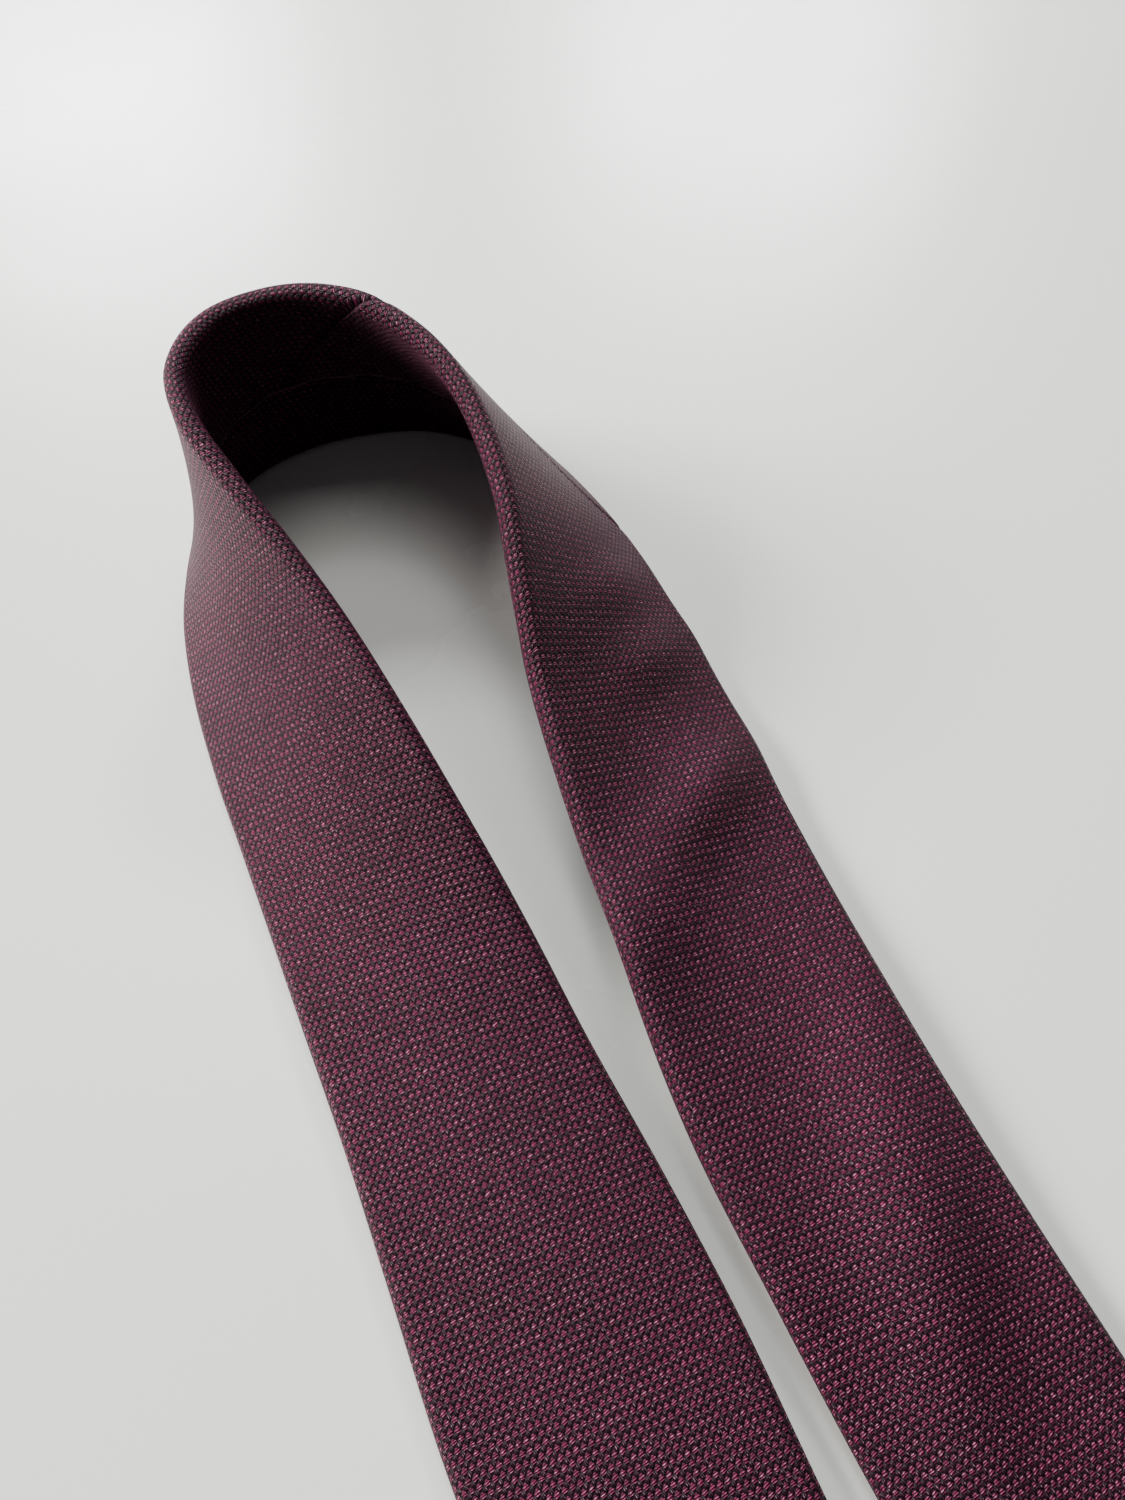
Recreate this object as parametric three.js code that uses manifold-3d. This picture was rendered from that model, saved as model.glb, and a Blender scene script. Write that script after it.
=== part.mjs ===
// Necktie, folded silk on a woollen interlining, laid down as a loop with both blades face up.
// Millimetres, +Z up, standing surface at z = 0, blades run towards -Y, neck loop at +Y.
import * as THREE from "three";
import { mergeVertices } from "three/addons/utils/BufferGeometryUtils.js";
import Module from "manifold-3d";

const wasm = await Module();
wasm.setup();

// Build-up of the folded tie, from the face to the back.
const THICK = 3.8; // pressed thickness of the whole tie
const SILK = 0.7; // one layer of the shell, with its turned edge
const CLEAR = 0.3; // gap between two layers that touch
const SLIT = 1.2; // gap between the two back flaps, closed by the slip stitch
const TIPPING = 0.3; // lining cloth behind each point
const EDGE_STEPS = 4; // facets round each rolled edge
const SHARES = [0.25, 0.5, 0.75]; // of the width, where every layer has a point
const THREAD_LIFT = 0.1; // slip stitch and bar tack over the table

// Front blade.
const FRONT_X = 13; // its centre line
const FRONT_WIDTH = 76; // at the shoulders, its widest place
const FRONT_TIP_Y = -560;
const FRONT_FOLD_Y = -280; // where it folds in half
const FRONT_FOLD_WIDTH = 58; // width there
const FRONT_UPPER_Y = -20; // end of the narrow upper part
const FRONT_UPPER_WIDTH = 41;

// Tail, which lies turned away from the front blade.
const TAIL_X = 58.2;
const TAIL_Y = -20; // start of its straight run
const TAIL_TURN = THREE.MathUtils.degToRad(3.3);
const TAIL_WIDTH = 44; // at the shoulders
const TAIL_LENGTH = 490; // from TAIL_Y to the point
const TAIL_FOLD = 235; // from TAIL_Y to where it folds in half
const TAIL_FOLD_WIDTH = 38;
const TAIL_SEAM = 100; // from TAIL_Y to the seam between neck and tail panels
const TAIL_UPPER_WIDTH = 36.5;

// Points, hems and the open back of each blade.
const HEM = 6; // turned back along both sides of a point
const FRONT_OPEN = 62; // from the shoulders up to the front bar tack
const TAIL_OPEN = 34;
const FRONT_TIPPING_LENGTH = 125; // from the point
const TAIL_TIPPING_LENGTH = 75;
const TACK_WIDTH = 3;
const TACK_LENGTH = 0.8;
const TACK_THICK = 0.6;
const TACK_DROP = 2.4; // from the end of the slip stitch to the bar tack

// Pieces sewn on the back of the front blade, which rides up over them.
const KEEPER_Y = -365; // middle of the keeper loop
const KEEPER_WIDTH = 52;
const KEEPER_LENGTH = 12;
const KEEPER_THICK = 0.8;
const STITCH_LENGTH = 1.2; // row of stitches at each end of the keeper loop
const LABEL_WIDTH = 46;
const LABEL_LENGTH = 22;
const LABEL_THICK = 0.4;
const LABEL_GAP = 4; // between keeper loop, label and tag
const TAG_WIDTH = 10;
const TAG_LENGTH = 16;
const RIDE_UP = KEEPER_THICK + CLEAR;
const RIDE_SLOPE = 25; // length over which the blade comes back down

// The piecing seam at the back of the neck.
const NECK_SEAM = new THREE.Vector2(47.5, 178.5); // place of the piecing seam in plan
const NECK_SEAM_TURN = THREE.MathUtils.degToRad(-33); // direction of the band there

// The strip through the neck loop: outer edge then inner edge, on its middle surface.
// It lies flat at both ends and stands on its outer edge round the back of the neck.
const LOOP = [
  [-6.5, 40, 1.9, 32.5, 40, 2.1],
  [-5.5, 60, 2, 30.9, 59.8, 3.2],
  [-5, 80, 1.9, 29.8, 76, 6.4],
  [-4.5, 94, 1.5, 28.5, 88.6, 10.4],
  [-4, 108, 1.2, 26.6, 101.6, 15.4],
  [-3.5, 122, 1, 24.5, 114, 20],
  [-2, 138, 0.9, 22, 127, 24],
  [1, 152, 0.7, 18.5, 140, 28],
  [6, 164, 0.4, 14.5, 152, 32],
  [12, 173, 0.2, 11.5, 163, 35],
  [21, 178.5, 0.1, 12.5, 173, 36],
  [32, 180.5, 0.1, 20, 181, 36],
  [43, 179.5, 0.1, 31, 182.5, 35.5],
  [53, 176, 0.1, 41.5, 177.5, 35],
  [61, 169, 0.2, 47.5, 168.5, 34.5],
  [67, 160, 0.4, 50.5, 158.5, 32.5],
  [70.5, 149, 0.6, 51, 148, 30],
  [72.8, 137, 0.8, 49.5, 136, 27],
  [74, 124, 0.9, 46, 123, 22],
  [74.4, 110, 1.1, 43, 110, 16],
  [74.2, 96, 1.3, 41, 96, 12],
  [73.7, 80, 1.6, 39.5, 80, 8],
  [73.2, 60, 1.8, 37.8, 60, 6],
  [73.3, 40, 1.9, 37, 40, 4.5],
  [74.3, 18, 2, 37.8, 20, 3.5],
];
const SUBSTEPS = 2; // strip steps between two of those stations
const APEX = 12; // the station nearest the seam

// A place along the strip: its two edges, and the way its face looks.
function station(outer, inner) {
  return { outer, inner };
}

// Straight blade lying flat: centre line point, direction towards the point, width and lift.
function flatStation(x, y, turn, width, lift = 0) {
  const z = THICK / 2 + lift;
  const across = new THREE.Vector3(Math.cos(turn), Math.sin(turn), 0).multiplyScalar(width / 2);
  const middle = new THREE.Vector3(x, y, z);
  return station(middle.clone().sub(across), middle.clone().add(across));
}

function frontWidth(y) {
  const shoulder = FRONT_TIP_Y + FRONT_WIDTH / 2;
  const { lerp, inverseLerp } = THREE.MathUtils;
  if (y < FRONT_FOLD_Y) return lerp(FRONT_FOLD_WIDTH, FRONT_WIDTH, inverseLerp(FRONT_FOLD_Y, shoulder, y));
  return lerp(FRONT_UPPER_WIDTH, FRONT_FOLD_WIDTH, inverseLerp(FRONT_UPPER_Y, FRONT_FOLD_Y, y));
}

function frontStation(y, lift = 0) {
  return flatStation(FRONT_X, y, 0, frontWidth(y), lift);
}

function tailWidth(along) {
  const { lerp, inverseLerp } = THREE.MathUtils;
  const shoulder = TAIL_LENGTH - TAIL_WIDTH / 2;
  if (along > TAIL_FOLD) return lerp(TAIL_FOLD_WIDTH, TAIL_WIDTH, inverseLerp(TAIL_FOLD, shoulder, along));
  return lerp(TAIL_UPPER_WIDTH, TAIL_FOLD_WIDTH, along / TAIL_FOLD);
}

function tailPoint(along) {
  return new THREE.Vector2(TAIL_X + along * Math.sin(TAIL_TURN), TAIL_Y - along * Math.cos(TAIL_TURN));
}

// The tail runs the other way along the strip, so its outer edge is the far one.
function tailStation(along) {
  const p = tailPoint(along);
  const flat = flatStation(p.x, p.y, TAIL_TURN, tailWidth(along));
  return station(flat.inner, flat.outer);
}

// Smooth strip through the listed stations, both edges as curves.
const edgeCurve = (first) =>
  new THREE.CatmullRomCurve3(LOOP.map((row) => new THREE.Vector3(...row.slice(first, first + 3))));
const OUTER_CURVE = edgeCurve(0);
const INNER_CURVE = edgeCurve(3);

function loopStations(from, to) {
  const steps = (LOOP.length - 1) * SUBSTEPS;
  const made = [];
  for (let i = from * SUBSTEPS; i <= to * SUBSTEPS; i += 1)
    made.push(station(OUTER_CURVE.getPoint(i / steps), INNER_CURVE.getPoint(i / steps)));
  return made;
}

// Frames of the strip: u runs from the outer to the inner edge, v from the back to the face.
function framesOf(stations) {
  const middles = stations.map((s) => s.outer.clone().add(s.inner).multiplyScalar(0.5));
  return stations.map((s, i) => {
    const before = middles[Math.max(i - 1, 0)];
    const after = middles[Math.min(i + 1, middles.length - 1)];
    const along = after.clone().sub(before).normalize();
    const across = s.inner.clone().sub(s.outer);
    const width = across.length();
    across.normalize();
    const face = across.clone().cross(along).normalize();
    return { outer: s.outer, across, face, width };
  });
}

// Closed mesh of one section per frame; section(width) lists its points as [u, v], all alike in number.
function sweep(stations, section) {
  const frames = framesOf(stations);
  const rings = frames.map((f) =>
    section(f.width).map(([u, v]) => f.outer.clone().addScaledVector(f.across, u).addScaledVector(f.face, v)),
  );
  const count = rings[0].length;
  const positions = rings.flat().flatMap((p) => [p.x, p.y, p.z]);
  const slants = section(frames[0].width).map(([u]) => u);
  const index = [];
  for (let i = 0; i + 1 < rings.length; i += 1)
    for (let j = 0; j < count; j += 1) {
      const next = (j + 1) % count;
      const [a, b] = [i * count + j, i * count + next];
      // All faces of a twisted strip are split along the same slant, so its layers stay parallel.
      if (slants[next] > slants[j]) index.push(a, a + count, b, b, a + count, b + count);
      else index.push(a, a + count, b + count, a, b + count, b);
    }
  const cap = (ring) =>
    THREE.ShapeUtils.triangulateShape(section(frames[ring].width).map((p) => new THREE.Vector2(...p)), []);
  for (const [a, b, c] of cap(0)) index.push(a, b, c);
  const last = (rings.length - 1) * count;
  for (const [a, b, c] of cap(rings.length - 1)) index.push(last + c, last + b, last + a);
  const geometry = new THREE.BufferGeometry();
  geometry.setAttribute("position", new THREE.Float32BufferAttribute(positions, 3));
  geometry.setIndex(index);
  return geometry;
}

// Half a turn of a rolled edge, from angle to angle + 180 degrees.
function rolledEdge(u, radius, start) {
  const points = [];
  for (let k = 0; k <= EDGE_STEPS; k += 1) {
    const angle = start + (k / EDGE_STEPS) * Math.PI;
    points.push([u + radius * Math.cos(angle), radius * Math.sin(angle)]);
  }
  return points;
}

// Points between the two edges at one height, at the same shares of the width in every layer.
function acrossPoints(width, height, towardsInner) {
  const shares = towardsInner ? SHARES : [...SHARES].reverse();
  return shares.map((share) => [share * width, height]);
}

// Rounded section of the folded tie, taken in from its surface by inset.
function roundedSection(width, inset) {
  const r = THICK / 2;
  return [
    ...rolledEdge(width - r, r - inset, -Math.PI / 2),
    ...acrossPoints(width, r - inset, false),
    ...rolledEdge(r, r - inset, Math.PI / 2),
  ];
}
const fullSection = (width) => roundedSection(width, 0);
const hollowSection = (width) => roundedSection(width, SILK);

// Section of the shell: one piece of silk folded round, its flaps meeting at the middle of the back.
function shellSection(width) {
  const r = THICK / 2;
  const [left, right] = [(width - SLIT) / 2, (width + SLIT) / 2];
  const outside = fullSection(width);
  const inside = hollowSection(width).reverse();
  const flap = (u, share) => [
    [u, -r + SILK],
    [u, -r],
    [share * width, -r],
  ];
  const [near, , far] = SHARES;
  const [leftFlap, rightFlap] = [flap(left, near).reverse(), flap(right, far)];
  const [leftTurn, rightTurn] = [[near * width, -r + SILK], [far * width, -r + SILK]];
  return [...rightFlap, ...outside, ...leftFlap, leftTurn, ...inside, rightTurn];
}

// Section of a flat layer inside the shell, between two heights; its sides clear the rolled edges.
function layerSection(low, high) {
  const hollow = THICK / 2 - SILK;
  const margin = THICK / 2 - Math.sqrt(hollow ** 2 - INNER_FACE ** 2) + CLEAR;
  return (width) => [
    [margin, low],
    ...acrossPoints(width, low, true),
    [width - margin, low],
    [width - margin, high],
    ...acrossPoints(width, high, false),
    [margin, high],
  ];
}

const INNER_FACE = THICK / 2 - SILK - CLEAR;
const LINING_SECTION = layerSection(-INNER_FACE, INNER_FACE);
const TIPPING_SECTION = layerSection(-INNER_FACE, -INNER_FACE + TIPPING);
const TIP_LINING_SECTION = layerSection(-INNER_FACE + TIPPING + CLEAR, INNER_FACE);

// Section of the slip stitch, a thread that lies in the slit.
function threadSection(width) {
  const half = (SLIT - 2 * CLEAR) / 2;
  const low = -THICK / 2 + THREAD_LIFT;
  const high = low + 2 * half;
  return [
    [width / 2 - half, low],
    [width / 2 + half, low],
    [width / 2 + half, high],
    [width / 2 - half, high],
  ];
}

// Pushes both ends of a run of stations out by a length, or pulls them in if it is negative.
function stretched(stations, length) {
  const push = (end, next) => {
    const step = (a, b) => a.clone().addScaledVector(b.clone().sub(a).normalize(), -length);
    return station(step(end.outer, next.outer), step(end.inner, next.inner));
  };
  const last = stations.length - 1;
  const made = [...stations];
  made[0] = push(stations[0], stations[1]);
  made[last] = push(stations[last], stations[last - 1]);
  return made;
}

// Solids, for the cuts.
function solidOf(geometry) {
  const bare = geometry.clone();
  bare.deleteAttribute("normal");
  bare.deleteAttribute("uv");
  const merged = mergeVertices(bare, 1e-4);
  const vertProperties = new Float32Array(merged.attributes.position.array);
  const triVerts = new Uint32Array(merged.index.array);
  return new wasm.Manifold(new wasm.Mesh({ numProp: 3, vertProperties, triVerts }));
}

function geometryOf(solid) {
  const mesh = solid.getMesh();
  const geometry = new THREE.BufferGeometry();
  geometry.setAttribute("position", new THREE.Float32BufferAttribute(mesh.vertProperties, 3));
  geometry.setIndex([...mesh.triVerts]);
  return geometry;
}

// Upright prism over an outline in plan, between two heights.
function prism(points, low, high) {
  const shape = new THREE.Shape(points.map(([x, y]) => new THREE.Vector2(x, y)));
  const geometry = new THREE.ExtrudeGeometry(shape, { depth: high - low, bevelEnabled: false });
  geometry.translate(0, 0, low);
  return geometry;
}

// Takes from a stretch of the band what lies past an upright plane at point, looking along the given turn.
function cutPast(geometry, point, turn, past) {
  const [reach, depth, height] = [60, 90, 100];
  const box = new THREE.BoxGeometry(reach, depth, height);
  box.translate((past * (reach - CLEAR)) / 2, 0, 0);
  box.rotateZ(turn);
  box.translate(point.x, point.y, 0);
  return geometryOf(solidOf(geometry).subtract(solidOf(box)));
}

// A blade's point in plan, seen in its own frame: x across, y up the blade, the tip at the origin.
function pointOutline(width, length, inset) {
  const half = width / 2 - inset;
  const low = inset * Math.SQRT2;
  return [
    [0, low],
    [half, low + half],
    [half, length],
    [-half, length],
    [-half, low + half],
  ];
}

// The back opening: the slit, the V below the bar tack, and the point inside its hem.
function backOpening(width, length, open) {
  const shoulder = width / 2;
  const half = shoulder - HEM;
  const low = HEM * Math.SQRT2;
  return [
    [0, low],
    [half, low + half],
    [SLIT / 2, shoulder + open],
    [SLIT / 2, length],
    [-SLIT / 2, length],
    [-SLIT / 2, shoulder + open],
    [-half, low + half],
  ];
}

// Moves a shape from a blade's own frame to its place.
function placed(geometry, tip, turn) {
  geometry.rotateZ(turn);
  geometry.translate(tip.x, tip.y, 0);
  return geometry;
}

// The last part of a blade: shell with its hemmed point, and what lies in it.
function bladeEnd(stations, blade) {
  const { tip, turn, width, length, open, tippingLength } = blade;
  const plan = (outline, high = THICK + 2 * RIDE_UP) => placed(prism(outline, -1, high), tip, turn);
  const past = length + 2 * HEM;
  const outside = solidOf(sweep(stations, fullSection));
  const hollow = solidOf(sweep(stretched(stations, CLEAR), hollowSection)); // runs out at both ends
  const whole = outside.intersect(solidOf(plan(pointOutline(width + 2, past, 0))));
  const inside = hollow.intersect(solidOf(plan(pointOutline(width + 2, past, SILK))));
  const opening = solidOf(plan(backOpening(width, past, open), THICK - SILK - CLEAR));
  const shell = geometryOf(whole.subtract(inside).subtract(opening));
  const layer = (section, upTo) => {
    const outline = plan(pointOutline(width + 2, upTo, SILK + 2 * CLEAR));
    return geometryOf(solidOf(sweep(stations, section)).intersect(solidOf(outline)));
  };
  const lining = layer(TIP_LINING_SECTION, past);
  const tipping = layer(TIPPING_SECTION, tippingLength);
  const tack = new THREE.BoxGeometry(TACK_WIDTH, TACK_LENGTH, TACK_THICK);
  tack.translate(0, width / 2 + open - TACK_DROP, TACK_THICK / 2 + THREAD_LIFT);
  return { shell, lining, tipping, tack: placed(tack, tip, turn) };
}

// Colours and surfaces.
const surface = (color, roughness) => new THREE.MeshStandardMaterial({ color, roughness, metalness: 0 });
const SILK_FINISH = () => surface(0x5b1a38, 0.55);
const LINING_FINISH = () => surface(0xd9d2c2, 0.95);
const TIPPING_FINISH = () => surface(0x4a1730, 0.4);
const THREAD_FINISH = () => surface(0x3d1228, 0.7);
const LABEL_FINISH = () => surface(0x1b1420, 0.6);

const tie = new THREE.Group();

function add(name, geometry, material) {
  geometry.computeVertexNormals();
  const mesh = new THREE.Mesh(geometry, material);
  mesh.name = name;
  tie.add(mesh);
}

// The plain layers of one stretch: shell, interlining and slip stitch.
function addStretch(names, stations, finish = (geometry) => geometry) {
  const run = stretched(stations, -CLEAR / 2); // so that two runs never touch
  const [shell, lining, thread] = names;
  if (shell) add(shell, finish(sweep(run, shellSection)), SILK_FINISH());
  if (lining) add(lining, finish(sweep(run, LINING_SECTION)), LINING_FINISH());
  if (thread) add(thread, finish(sweep(run, threadSection)), THREAD_FINISH());
}

// Neck loop, in two parts that meet at the piecing seam.
const beforeSeam = (geometry) => cutPast(geometry, NECK_SEAM, NECK_SEAM_TURN, 1);
const afterSeam = (geometry) => cutPast(geometry, NECK_SEAM, NECK_SEAM_TURN, -1);
const frontEnd = 1; // station of the loop's end on the front side
const tailEnd = LOOP.length - 3; // and on the tail side
addStretch(
  ["front_shell_loop", "interlining_loop_front", "slip_stitch_loop_front"],
  loopStations(frontEnd, APEX + 2),
  beforeSeam,
);
addStretch(
  ["neck_shell_loop", "interlining_loop_neck", "slip_stitch_loop_neck"],
  loopStations(APEX - 2, tailEnd),
  afterSeam,
);

// Upper half of the front blade.
const frontLeg = [
  ...loopStations(0, frontEnd).reverse(),
  ...[FRONT_UPPER_Y, (FRONT_UPPER_Y + FRONT_FOLD_Y) / 2, FRONT_FOLD_Y].map((y) => frontStation(y)),
];
addStretch(
  ["front_shell_leg", "interlining_front_leg", "slip_stitch_front_leg"],
  [...frontLeg].reverse(),
);

// Upper half of the tail: the end of the neck panel, then the tail panel.
const tailSide = loopStations(tailEnd, LOOP.length - 1);
const neckLeg = [...tailSide, ...[0, TAIL_SEAM / 2, TAIL_SEAM].map(tailStation)];
const tailLeg = [TAIL_SEAM, (TAIL_SEAM + TAIL_FOLD) / 2, TAIL_FOLD].map(tailStation);
addStretch(["neck_shell_leg", null, null], neckLeg);
addStretch(["tail_shell_leg", null, null], tailLeg);
addStretch(
  [null, "interlining_tail_leg", "slip_stitch_tail_leg"],
  [...neckLeg, ...tailLeg.slice(1)],
);

// Lower half of the front blade, which rides up over what is sewn on its back.
const rideTop = KEEPER_Y + KEEPER_LENGTH / 2 + LABEL_GAP + TAG_LENGTH + LABEL_GAP;
const rideEnd = KEEPER_Y - KEEPER_LENGTH / 2 - LABEL_GAP - LABEL_LENGTH - LABEL_GAP;
const tipOverrun = 2 * HEM;
const frontEndRun = [
  [FRONT_TIP_Y - tipOverrun, 0],
  [FRONT_TIP_Y + FRONT_WIDTH / 2, 0],
  [FRONT_TIP_Y + FRONT_TIPPING_LENGTH, 0],
  [rideEnd - RIDE_SLOPE, 0],
  [rideEnd, RIDE_UP],
  [rideTop, RIDE_UP],
  [rideTop + RIDE_SLOPE, 0],
  [FRONT_FOLD_Y - CLEAR / 2, 0],
].map(([y, lift]) => frontStation(y, lift));
const frontTip = bladeEnd(frontEndRun, {
  tip: new THREE.Vector2(FRONT_X, FRONT_TIP_Y),
  turn: 0,
  width: FRONT_WIDTH,
  length: FRONT_FOLD_Y - FRONT_TIP_Y,
  open: FRONT_OPEN,
  tippingLength: FRONT_TIPPING_LENGTH,
});
add("front_shell_tip", frontTip.shell, SILK_FINISH());
add("interlining_front_tip", frontTip.lining, LINING_FINISH());
add("front_tipping", frontTip.tipping, TIPPING_FINISH());
add("front_bar_tack", frontTip.tack, THREAD_FINISH());
const frontSlitEnd = FRONT_TIP_Y + FRONT_WIDTH / 2 + FRONT_OPEN;
const frontThread = [frontStation(frontSlitEnd), ...frontEndRun.slice(3)];
add("slip_stitch_front_tip", sweep(frontThread, threadSection), THREAD_FINISH());

// Keeper loop with its stitches, label and tag, in the room under the blade.
const flatPiece = (width, length, thick, x, y, z) =>
  new THREE.BoxGeometry(width, length, thick).translate(FRONT_X + x, y, z + thick / 2);
add("keeper_loop", flatPiece(KEEPER_WIDTH, KEEPER_LENGTH, KEEPER_THICK, 0, KEEPER_Y, 0), SILK_FINISH());
const stitchX = KEEPER_WIDTH / 2 + CLEAR + STITCH_LENGTH / 2;
for (const [side, name] of [[-1, "keeper_stitch_left"], [1, "keeper_stitch_right"]])
  add(
    name,
    flatPiece(STITCH_LENGTH, KEEPER_LENGTH, LABEL_THICK, side * stitchX, KEEPER_Y, RIDE_UP - CLEAR - LABEL_THICK),
    THREAD_FINISH(),
  );
const labelY = KEEPER_Y - (KEEPER_LENGTH + LABEL_LENGTH) / 2 - LABEL_GAP;
const labelZ = RIDE_UP - CLEAR - LABEL_THICK;
add("maker_label", flatPiece(LABEL_WIDTH, LABEL_LENGTH, LABEL_THICK, 0, labelY, labelZ), LABEL_FINISH());
const tagY = KEEPER_Y + (KEEPER_LENGTH + TAG_LENGTH) / 2 + LABEL_GAP;
add("care_tag", flatPiece(TAG_WIDTH, TAG_LENGTH, LABEL_THICK, 0, tagY, labelZ), LABEL_FINISH());

// Lower half of the tail.
const tailEndRun = [
  TAIL_LENGTH + tipOverrun,
  TAIL_LENGTH - TAIL_WIDTH / 2,
  TAIL_LENGTH - TAIL_TIPPING_LENGTH,
  TAIL_FOLD + CLEAR / 2,
].map(tailStation);
const tailTip = bladeEnd([...tailEndRun].reverse(), {
  tip: tailPoint(TAIL_LENGTH),
  turn: TAIL_TURN,
  width: TAIL_WIDTH,
  length: TAIL_LENGTH - TAIL_FOLD,
  open: TAIL_OPEN,
  tippingLength: TAIL_TIPPING_LENGTH,
});
add("tail_shell_tip", tailTip.shell, SILK_FINISH());
add("interlining_tail_tip", tailTip.lining, LINING_FINISH());
add("tail_tipping", tailTip.tipping, TIPPING_FINISH());
add("tail_bar_tack", tailTip.tack, THREAD_FINISH());
const tailSlitEnd = TAIL_LENGTH - TAIL_WIDTH / 2 - TAIL_OPEN;
const tailThread = [TAIL_FOLD + CLEAR / 2, tailSlitEnd].map(tailStation);
add("slip_stitch_tail_tip", sweep(tailThread, threadSection), THREAD_FINISH());

// The origin is under the middle of the tie as it lies.
const middle = new THREE.Box3().setFromObject(tie).getCenter(new THREE.Vector3());
const necktie = new THREE.Group();
tie.position.set(-middle.x, -middle.y, 0);
necktie.add(tie);

export default necktie;
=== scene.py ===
import math

import bpy
import numpy as np
from mathutils import Matrix, Vector


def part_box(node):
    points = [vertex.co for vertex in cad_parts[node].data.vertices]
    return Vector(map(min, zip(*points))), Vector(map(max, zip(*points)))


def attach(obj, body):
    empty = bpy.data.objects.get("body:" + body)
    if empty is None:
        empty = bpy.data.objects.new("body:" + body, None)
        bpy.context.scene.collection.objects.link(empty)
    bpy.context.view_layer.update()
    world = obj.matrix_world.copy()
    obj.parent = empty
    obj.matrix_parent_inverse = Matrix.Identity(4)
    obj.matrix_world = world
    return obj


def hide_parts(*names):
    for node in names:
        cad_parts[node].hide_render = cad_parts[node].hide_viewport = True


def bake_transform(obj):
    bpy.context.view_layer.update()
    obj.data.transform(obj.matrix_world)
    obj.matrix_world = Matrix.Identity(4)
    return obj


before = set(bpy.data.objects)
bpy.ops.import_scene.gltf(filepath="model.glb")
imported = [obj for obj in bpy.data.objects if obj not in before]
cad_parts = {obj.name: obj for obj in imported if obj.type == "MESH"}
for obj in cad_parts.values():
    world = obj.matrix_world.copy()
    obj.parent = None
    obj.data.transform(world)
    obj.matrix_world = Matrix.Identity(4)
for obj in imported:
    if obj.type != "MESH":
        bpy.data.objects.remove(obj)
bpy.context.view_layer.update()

# Where the tie lies, and the view of it.
# Lengths of cloth are in millimetres on the tie-maker's plan, whose origin lies
# between the two blades. The keeper loop fixes that plan in the frame.
MM = 0.001
KEEPER_X, KEEPER_Y = 13.0, -365.0
keeper_low, keeper_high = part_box("keeper_loop")
PLAN = (keeper_low + keeper_high) / 2 - Vector((KEEPER_X, KEEPER_Y, 0)) * MM
PLAN.z = 0


def place(x, y, z=0.0):
    return PLAN + Vector((x, y, z)) * MM


VIEW_HEIGHT = 205.0
VIEW_TURN = math.radians(24.0)
VIEW_DROP = math.radians(60.5)
view_camera = bpy.data.cameras.new("view")
view_camera.sensor_width = 36
view_camera.lens = 36
view_camera.clip_start = 0.01
camera = bpy.data.objects.new("view", view_camera)
bpy.context.scene.collection.objects.link(camera)
forward = Vector(
    (
        math.sin(VIEW_TURN) * math.cos(VIEW_DROP),
        math.cos(VIEW_TURN) * math.cos(VIEW_DROP),
        -math.sin(VIEW_DROP),
    )
)
right = Vector((math.cos(VIEW_TURN), -math.sin(VIEW_TURN), 0))
upward = right.cross(forward)
turn = Matrix((right, upward, -forward)).transposed().to_4x4()
camera.matrix_world = Matrix.Translation(place(0, 0, VIEW_HEIGHT)) @ turn
bpy.context.scene.camera = camera


# Table top, smooth white lacquer. Most light is from a low window on the left; two
# small windows beyond the loop shine on the lacquer, and a weak one is high up.
def new_object(name, mesh):
    made = bpy.data.objects.new(name, mesh)
    bpy.context.scene.collection.objects.link(made)
    return made


def new_material(name, **settings):
    """A material, its node tree and its shader, with plain values on the shader's sockets."""
    material = bpy.data.materials.new(name)
    material.use_nodes = True
    shader = material.node_tree.nodes["Principled BSDF"]
    for socket, value in settings.items():
        shader.inputs[socket.replace("_", " ")].default_value = value
    return material, material.node_tree, shader


def noise(tree, scale, detail, vector=None):
    made = tree.nodes.new("ShaderNodeTexNoise")
    made.inputs["Scale"].default_value = scale
    made.inputs["Detail"].default_value = detail
    if vector is not None:
        tree.links.new(vector, made.inputs["Vector"])
    return made.outputs["Fac"]


def spread(tree, value, low, high, start=0.0, end=1.0):
    """Brings a value between start and end to the range low to high."""
    made = tree.nodes.new("ShaderNodeMapRange")
    tree.links.new(value, made.inputs["Value"])
    for socket, number in (
        ("From Min", start),
        ("From Max", end),
        ("To Min", low),
        ("To Max", high),
    ):
        made.inputs[socket].default_value = number
    return made.outputs["Result"]


def mixed(tree, factor, first, second, blend_type="MIX"):
    """Mixes two colours, each a socket or three numbers, by a socket or a number."""
    made = tree.nodes.new("ShaderNodeMix")
    made.data_type = "RGBA"
    made.blend_type = blend_type
    for socket, value in (
        (made.inputs[0], factor),
        (made.inputs[6], first),
        (made.inputs[7], second),
    ):
        if isinstance(value, bpy.types.NodeSocket):
            tree.links.new(value, socket)
        elif isinstance(value, (int, float)):
            socket.default_value = value
        else:
            socket.default_value = (*value, 1)
    return made.outputs[2]


def roughened(tree, shader, height, strength, distance):
    """Feeds the shader's normal from a height through a bump."""
    made = tree.nodes.new("ShaderNodeBump")
    made.inputs["Strength"].default_value = strength
    made.inputs["Distance"].default_value = distance
    tree.links.new(height, made.inputs["Height"])
    tree.links.new(made.outputs["Normal"], shader.inputs["Normal"])


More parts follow.
